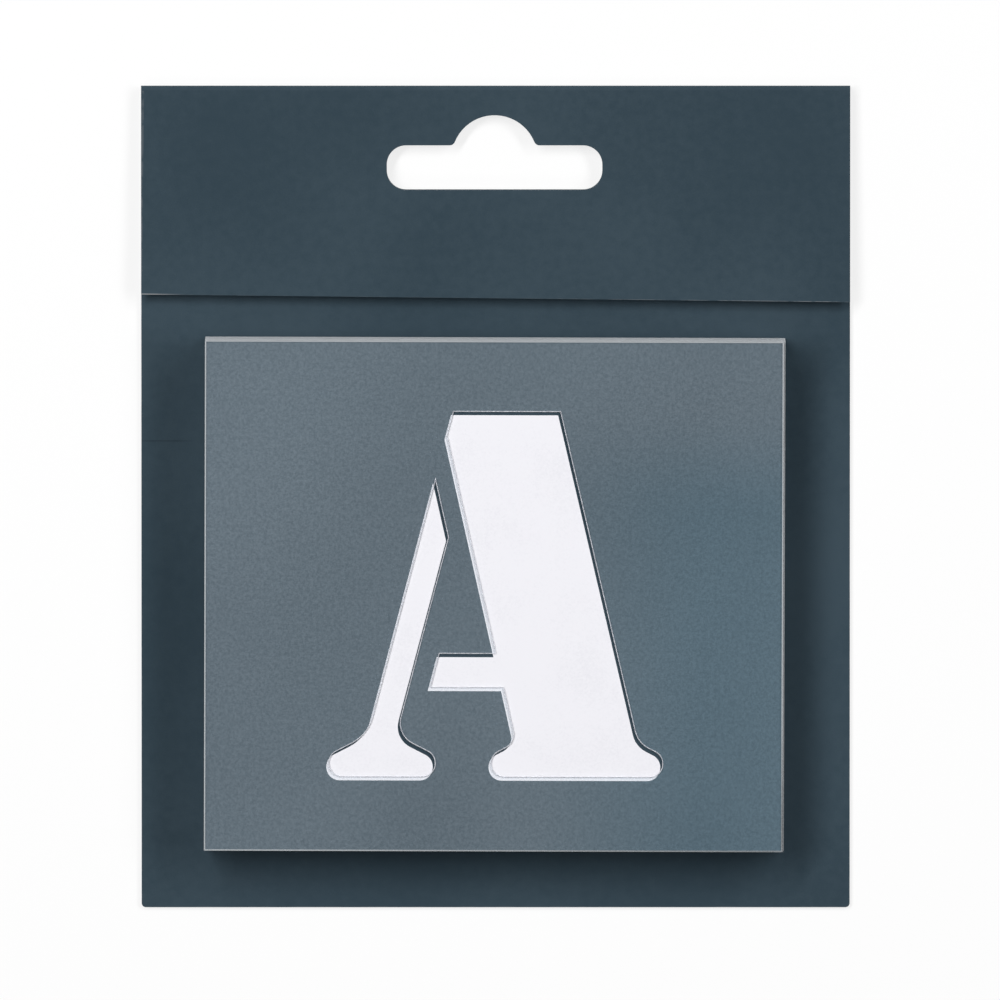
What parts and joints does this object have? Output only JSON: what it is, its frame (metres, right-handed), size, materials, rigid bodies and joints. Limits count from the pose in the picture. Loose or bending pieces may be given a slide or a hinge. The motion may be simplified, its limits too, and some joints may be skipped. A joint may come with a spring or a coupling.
{
  "type": "lettering stencil pack",
  "caption": "Hanging card with a folded header and a euro hole, carrying a pile of clear rectangular plates with bridged serif capitals cut through them.",
  "frame": {"origin": "middle of the card's outline, on the surface that its back lies on", "axes": "+X to the right across the card, +Y up the card towards the hang hole, +Z out of the card's face towards the viewer"},
  "size_m": [0.1, 0.1164, 0.0067],
  "materials": {
    "card": "matt print",
    "clear_plastic": "clear with a fine frosted face",
    "letter_paper": "matt print",
    "adhesive": "clear double-sided tape"
  },
  "bodies": {
    "card": {"back_panel": "card", "fold_crease": "card", "tape_strips": "adhesive"},
    "flap": {"header_flap": "card"},
    "stencil_z": {"stencil_z": "clear_plastic"},
    "stencil_y": {"stencil_y": "clear_plastic"},
    "stencil_x": {"stencil_x": "clear_plastic"},
    "stencil_w": {"stencil_w": "clear_plastic"},
    "stencil_v": {"stencil_v": "clear_plastic"},
    "stencil_u": {"stencil_u": "clear_plastic"},
    "stencil_t": {"stencil_t": "clear_plastic"},
    "stencil_s": {"stencil_s": "clear_plastic"},
    "stencil_r": {"stencil_r": "clear_plastic"},
    "stencil_q": {"stencil_q": "clear_plastic"},
    "stencil_p": {"stencil_p": "clear_plastic"},
    "stencil_o": {"stencil_o": "clear_plastic"},
    "stencil_n": {"stencil_n": "clear_plastic"},
    "stencil_m": {"stencil_m": "clear_plastic"},
    "stencil_l": {"stencil_l": "clear_plastic"},
    "stencil_k": {"stencil_k": "clear_plastic"},
    "stencil_j": {"stencil_j": "clear_plastic"},
    "stencil_i": {"stencil_i": "clear_plastic"},
    "stencil_h": {"stencil_h": "clear_plastic"},
    "stencil_g": {"stencil_g": "clear_plastic"},
    "stencil_f": {"stencil_f": "clear_plastic"},
    "stencil_e": {"stencil_e": "clear_plastic"},
    "stencil_d": {"stencil_d": "clear_plastic"},
    "stencil_c": {"stencil_c": "clear_plastic"},
    "stencil_b": {"stencil_b": "clear_plastic"},
    "letter_sheet": {"letter_sheet": "letter_paper"},
    "stencil_a": {"stencil_a": "clear_plastic"}
  },
  "joints": [
    {"name": "flap_fold", "type": "hinge", "parent": "card", "child": "flap", "pos_m": [0, 0.05747, 0.0007], "axis": [-1, 0, 0], "range_deg": [0, 178], "deforming": ["fold_crease"]},
    {"name": "stencil_z_draw", "type": "slide", "parent": "card", "child": "stencil_z", "axis": [0, -1, 0], "range_m": [0, 0.083]},
    {"name": "stencil_y_draw", "type": "slide", "parent": "card", "child": "stencil_y", "axis": [0, -1, 0], "range_m": [0, 0.083]},
    {"name": "stencil_x_draw", "type": "slide", "parent": "card", "child": "stencil_x", "axis": [0, -1, 0], "range_m": [0, 0.083]},
    {"name": "stencil_w_draw", "type": "slide", "parent": "card", "child": "stencil_w", "axis": [0, -1, 0], "range_m": [0, 0.083]},
    {"name": "stencil_v_draw", "type": "slide", "parent": "card", "child": "stencil_v", "axis": [0, -1, 0], "range_m": [0, 0.083]},
    {"name": "stencil_u_draw", "type": "slide", "parent": "card", "child": "stencil_u", "axis": [0, -1, 0], "range_m": [0, 0.083]},
    {"name": "stencil_t_draw", "type": "slide", "parent": "card", "child": "stencil_t", "axis": [0, -1, 0], "range_m": [0, 0.083]},
    {"name": "stencil_s_draw", "type": "slide", "parent": "card", "child": "stencil_s", "axis": [0, -1, 0], "range_m": [0, 0.083]},
    {"name": "stencil_r_draw", "type": "slide", "parent": "card", "child": "stencil_r", "axis": [0, -1, 0], "range_m": [0, 0.083]},
    {"name": "stencil_q_draw", "type": "slide", "parent": "card", "child": "stencil_q", "axis": [0, -1, 0], "range_m": [0, 0.083]},
    {"name": "stencil_p_draw", "type": "slide", "parent": "card", "child": "stencil_p", "axis": [0, -1, 0], "range_m": [0, 0.083]},
    {"name": "stencil_o_draw", "type": "slide", "parent": "card", "child": "stencil_o", "axis": [0, -1, 0], "range_m": [0, 0.083]},
    {"name": "stencil_n_draw", "type": "slide", "parent": "card", "child": "stencil_n", "axis": [0, -1, 0], "range_m": [0, 0.083]},
    {"name": "stencil_m_draw", "type": "slide", "parent": "card", "child": "stencil_m", "axis": [0, -1, 0], "range_m": [0, 0.083]},
    {"name": "stencil_l_draw", "type": "slide", "parent": "card", "child": "stencil_l", "axis": [0, -1, 0], "range_m": [0, 0.083]},
    {"name": "stencil_k_draw", "type": "slide", "parent": "card", "child": "stencil_k", "axis": [0, -1, 0], "range_m": [0, 0.083]},
    {"name": "stencil_j_draw", "type": "slide", "parent": "card", "child": "stencil_j", "axis": [0, -1, 0], "range_m": [0, 0.083]},
    {"name": "stencil_i_draw", "type": "slide", "parent": "card", "child": "stencil_i", "axis": [0, -1, 0], "range_m": [0, 0.083]},
    {"name": "stencil_h_draw", "type": "slide", "parent": "card", "child": "stencil_h", "axis": [0, -1, 0], "range_m": [0, 0.083]},
    {"name": "stencil_g_draw", "type": "slide", "parent": "card", "child": "stencil_g", "axis": [0, -1, 0], "range_m": [0, 0.083]},
    {"name": "stencil_f_draw", "type": "slide", "parent": "card", "child": "stencil_f", "axis": [0, -1, 0], "range_m": [0, 0.083]},
    {"name": "stencil_e_draw", "type": "slide", "parent": "card", "child": "stencil_e", "axis": [0, -1, 0], "range_m": [0, 0.083]},
    {"name": "stencil_d_draw", "type": "slide", "parent": "card", "child": "stencil_d", "axis": [0, -1, 0], "range_m": [0, 0.083]},
    {"name": "stencil_c_draw", "type": "slide", "parent": "card", "child": "stencil_c", "axis": [0, -1, 0], "range_m": [0, 0.083]},
    {"name": "stencil_b_draw", "type": "slide", "parent": "card", "child": "stencil_b", "axis": [0, -1, 0], "range_m": [0, 0.083]},
    {"name": "letter_sheet_draw", "type": "slide", "parent": "card", "child": "letter_sheet", "axis": [0, -1, 0], "range_m": [0, 0.083]},
    {"name": "stencil_a_draw", "type": "slide", "parent": "card", "child": "stencil_a", "axis": [0, -1, 0], "range_m": [0, 0.083]}
  ]
}
